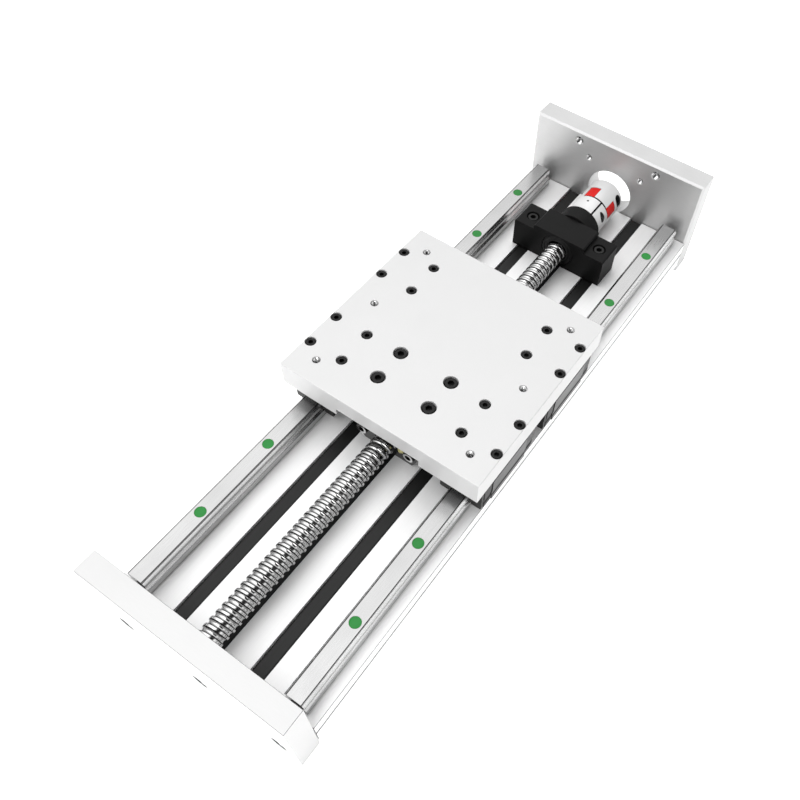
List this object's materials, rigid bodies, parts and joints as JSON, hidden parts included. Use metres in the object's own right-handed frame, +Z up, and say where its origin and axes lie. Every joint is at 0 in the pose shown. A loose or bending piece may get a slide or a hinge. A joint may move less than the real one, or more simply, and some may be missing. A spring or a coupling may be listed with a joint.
{
  "type": "ball screw linear stage",
  "caption": "Linear stage: a square drilled table on rail carriages, driven by a ball screw in a slotted base between two end plates, with a jaw coupling by the motor plate.",
  "frame": {"origin": "middle of the stage's outline, on the surface that the two end plates stand on", "axes": "+X along the screw towards the motor plate, +Y across the rails, +Z up through the table"},
  "size_m": [0.497, 0.154, 0.09],
  "materials": {
    "anodised_aluminium": "fine silver anodised",
    "rail_steel": "ground",
    "carriage_steel": "ground",
    "end_cap_plastic": "moulded black",
    "slot_strip_rubber": "satin black",
    "coupling_aluminium": "turned bright",
    "spider_red": "moulded red",
    "screw_steel": "polished",
    "nut_steel": "ground",
    "bearing_steel": "polished",
    "black_oxide_steel": "black oxide",
    "zinc_steel": "bright zinc",
    "black_screw_steel": "black oxide",
    "cap_green": "moulded green",
    "brass_plug": "turned"
  },
  "bodies": {
    "frame": {"base_plate": "anodised_aluminium", "bearing_cover": "black_oxide_steel", "front_bearing": "bearing_steel", "front_plate": "anodised_aluminium", "motor_plate": "anodised_aluminium", "rail_left": "rail_steel", "rail_right": "rail_steel", "screw_seal": "end_cap_plastic", "slot_strip_left": "slot_strip_rubber", "slot_strip_middle": "slot_strip_rubber", "slot_strip_right": "slot_strip_rubber", "support_bearing_front": "bearing_steel", "support_bearing_rear": "bearing_steel", "support_block": "black_oxide_steel", "support_block_screw_1": "black_screw_steel", "support_block_screw_2": "black_screw_steel"},
    "table": {"ball_nut": "nut_steel", "carriage_front_left_body": "carriage_steel", "carriage_front_left_front_cap": "end_cap_plastic", "carriage_front_left_rear_cap": "end_cap_plastic", "carriage_front_right_body": "carriage_steel", "carriage_front_right_front_cap": "end_cap_plastic", "carriage_front_right_rear_cap": "end_cap_plastic", "carriage_rear_left_body": "carriage_steel", "carriage_rear_left_front_cap": "end_cap_plastic", "carriage_rear_left_rear_cap": "end_cap_plastic", "carriage_rear_right_body": "carriage_steel", "carriage_rear_right_front_cap": "end_cap_plastic", "carriage_rear_right_rear_cap": "end_cap_plastic", "nut_flange_screw_1": "zinc_steel", "nut_flange_screw_2": "zinc_steel", "nut_housing": "anodised_aluminium", "nut_housing_screw_1": "black_screw_steel", "nut_housing_screw_2": "black_screw_steel", "nut_housing_screw_3": "black_screw_steel", "nut_housing_screw_4": "black_screw_steel", "table_plate": "anodised_aluminium", "table_screw_front_left_1": "black_screw_steel", "table_screw_front_left_2": "black_screw_steel", "table_screw_front_left_3": "black_screw_steel", "table_screw_front_left_4": "black_screw_steel", "table_screw_front_right_1": "black_screw_steel", "table_screw_front_right_2": "black_screw_steel", "table_screw_front_right_3": "black_screw_steel", "table_screw_front_right_4": "black_screw_steel", "table_screw_rear_left_1": "black_screw_steel", "table_screw_rear_left_2": "black_screw_steel", "table_screw_rear_left_3": "black_screw_steel", "table_screw_rear_left_4": "black_screw_steel", "table_screw_rear_right_1": "black_screw_steel", "table_screw_rear_right_2": "black_screw_steel", "table_screw_rear_right_3": "black_screw_steel", "table_screw_rear_right_4": "black_screw_steel"},
    "screw": {"ball_screw": "screw_steel", "clamp_screw_motor": "black_screw_steel", "clamp_screw_screw": "black_screw_steel", "coupling_hub_motor": "coupling_aluminium", "coupling_hub_screw": "coupling_aluminium", "coupling_spider": "spider_red", "lock_nut": "black_oxide_steel"}
  },
  "joints": [
    {"name": "table_slide", "type": "slide", "parent": "frame", "child": "table", "axis": [1, 0, 0], "range_m": [-0.15, 0.15]},
    {"name": "screw_spin", "type": "hinge", "parent": "frame", "child": "screw", "pos_m": [0, 0, 0.047], "axis": [1, 0, 0], "range_deg": [-10801, 10801]}
  ],
  "couplings": [
    {"joint": "screw_spin", "follows": "table_slide", "rad_per_m": -1256.6}
  ]
}
